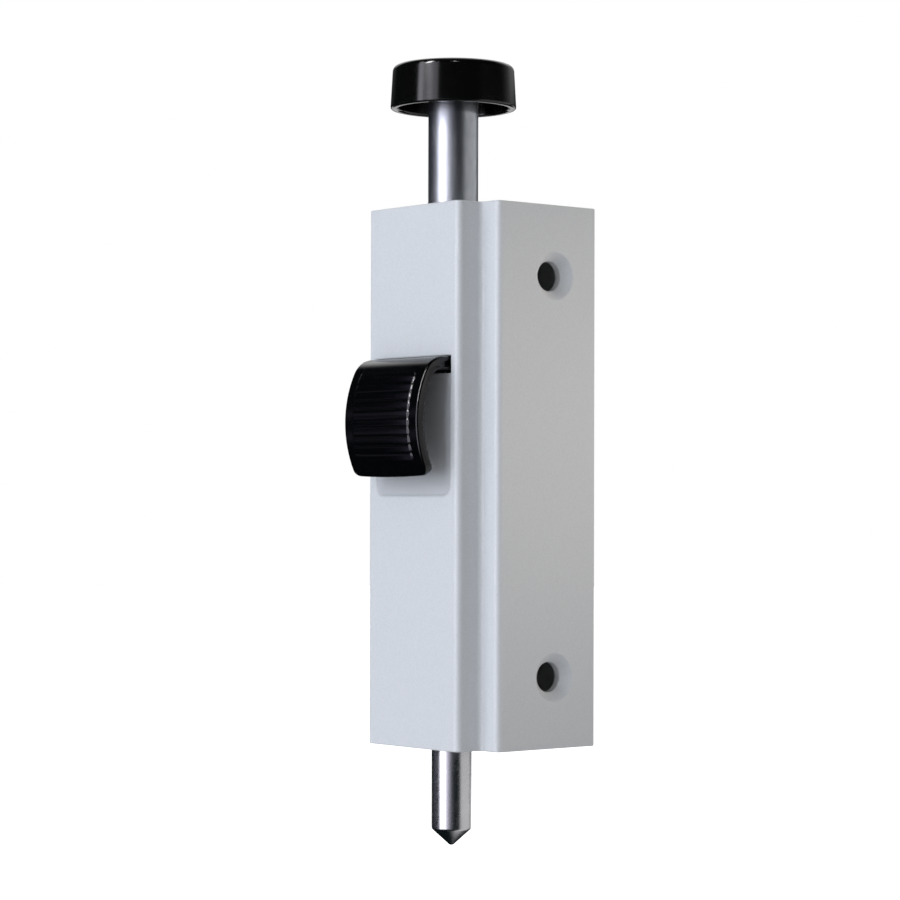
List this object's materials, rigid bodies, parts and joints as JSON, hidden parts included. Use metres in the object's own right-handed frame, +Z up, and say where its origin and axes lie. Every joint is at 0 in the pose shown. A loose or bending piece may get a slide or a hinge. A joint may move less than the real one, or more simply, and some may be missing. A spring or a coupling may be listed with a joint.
{
  "type": "sliding patio door lock",
  "caption": "Push-down patio door lock: stepped cast housing, plunger with round knob, pointed bolt below and a ribbed release lever in front.",
  "frame": {"origin": "middle of the housing's flat door-side face, halfway between its two screw holes", "axes": "+Z up along the plunger towards the knob, -Y out of the lever's side, +X away from the door stile"},
  "size_m": [0.0382, 0.0397, 0.1554],
  "materials": {
    "silver_paint": "satin silver paint on a casting",
    "cover_steel": "satin silver paint on sheet steel",
    "screw_steel": "bright zinc plate",
    "bushing_plastic": "moulded acetal",
    "washer_steel": "bright zinc plate",
    "spring_steel": "drawn wire",
    "zinc_plated_rod": "bright zinc plate with a faint crystal mottle",
    "polished_bolt": "ground and plated",
    "ring_steel": "blued spring steel",
    "knob_plastic": "glossy moulded black",
    "lever_plastic": "semi-gloss moulded black",
    "guide_plastic": "moulded natural acetal"
  },
  "bodies": {
    "body": {"housing": "silver_paint", "back_cover": "cover_steel", "cover_screws": "screw_steel", "top_bushing": "bushing_plastic", "bottom_bushing": "bushing_plastic", "spring_washer": "washer_steel", "return_spring": "spring_steel", "latch_guide": "guide_plastic", "guide_screws": "screw_steel", "latch_spring": "spring_steel", "lever_pin": "washer_steel"},
    "plunger": {"plunger_rod": "zinc_plated_rod", "knob": "knob_plastic", "retaining_ring": "ring_steel", "bolt_pin": "polished_bolt", "cross_pin": "ring_steel", "spring_cup": "washer_steel"},
    "latch": {"latch_plate": "washer_steel"},
    "lever": {"release_lever": "lever_plastic"}
  },
  "joints": [
    {"name": "plunger_slide", "type": "slide", "parent": "body", "child": "plunger", "axis": [0, 0, -1], "range_m": [0, 0.018], "stiffness_N_per_m": 300, "springref_m": -0.02, "deforming": ["return_spring"]},
    {"name": "lever_press", "type": "hinge", "parent": "body", "child": "lever", "pos_m": [0.0191, -0.0173, 0.0219], "axis": [1, 0, 0], "range_deg": [0, 10]},
    {"name": "latch_slide", "type": "slide", "parent": "body", "child": "latch", "axis": [0, 1, 0], "range_m": [0, 0.00229], "stiffness_N_per_m": 500, "springref_m": -0.004, "deforming": ["latch_spring"]}
  ],
  "couplings": [
    {"joint": "lever_press", "follows": "latch_slide", "rad_per_m": 76.336}
  ]
}
